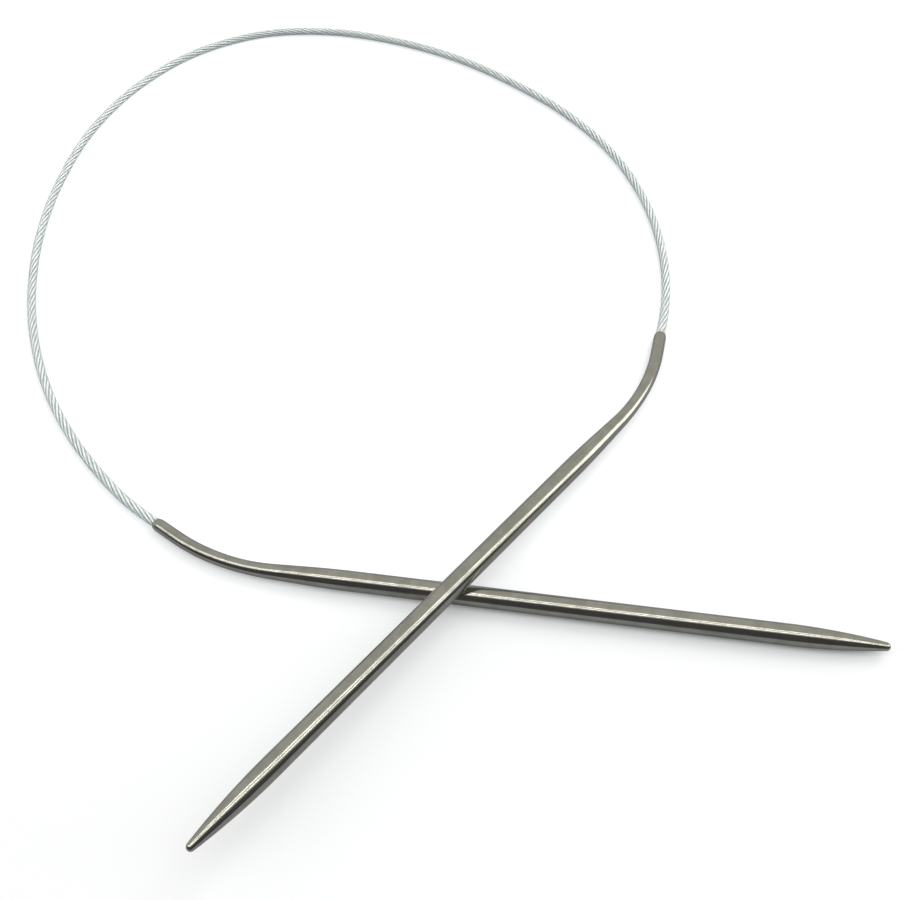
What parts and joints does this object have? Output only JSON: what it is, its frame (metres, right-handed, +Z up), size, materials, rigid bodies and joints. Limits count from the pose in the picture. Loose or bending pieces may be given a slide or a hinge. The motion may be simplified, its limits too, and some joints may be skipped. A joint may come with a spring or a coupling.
{
  "type": "circular knitting needle",
  "caption": "Circular knitting needle: polished steel tube needles with bent necks and blunt round points, joined by a springy wire rope in a clear coating, lying crossed in a loop.",
  "frame": {"origin": "on the table, under the middle of the box round the two needles, so the cable's loop counts for nothing in it", "axes": "+X along the left needle's straight shank towards its point; +Z up from the table the part lies on; +Y away from the viewer, towards the cable's loop"},
  "size_m": [0.2076, 0.2392, 0.0118],
  "materials": {
    "needle_steel": "polished steel tube with fine handling scratches",
    "rope_steel": "bright stranded wire rope",
    "clear_plastic": "clear glossy flexible coating"
  },
  "bodies": {
    "cable": {"wire_rope": "rope_steel", "clear_coating": "clear_plastic"},
    "left_needle": {"left_needle": "needle_steel", "left_cable_end": "rope_steel"},
    "right_needle": {"right_needle": "needle_steel", "right_cable_end": "rope_steel"}
  },
  "joints": [
    {"name": "left_needle_swing", "type": "hinge", "parent": "cable", "child": "left_needle", "pos_m": [-0.07031, -0.00008, 0.0014], "axis": [0, 0, 1], "range_deg": [-60, 0], "stiffness_Nm_per_rad": 0.02, "deforming": ["wire_rope", "clear_coating"]},
    {"name": "right_needle_swing", "type": "hinge", "parent": "cable", "child": "right_needle", "pos_m": [0.02735, 0.06207, 0.00129], "axis": [0, 0.0757, 0.9971], "range_deg": [-60, 60], "stiffness_Nm_per_rad": 0.02, "deforming": ["wire_rope", "clear_coating"]}
  ]
}
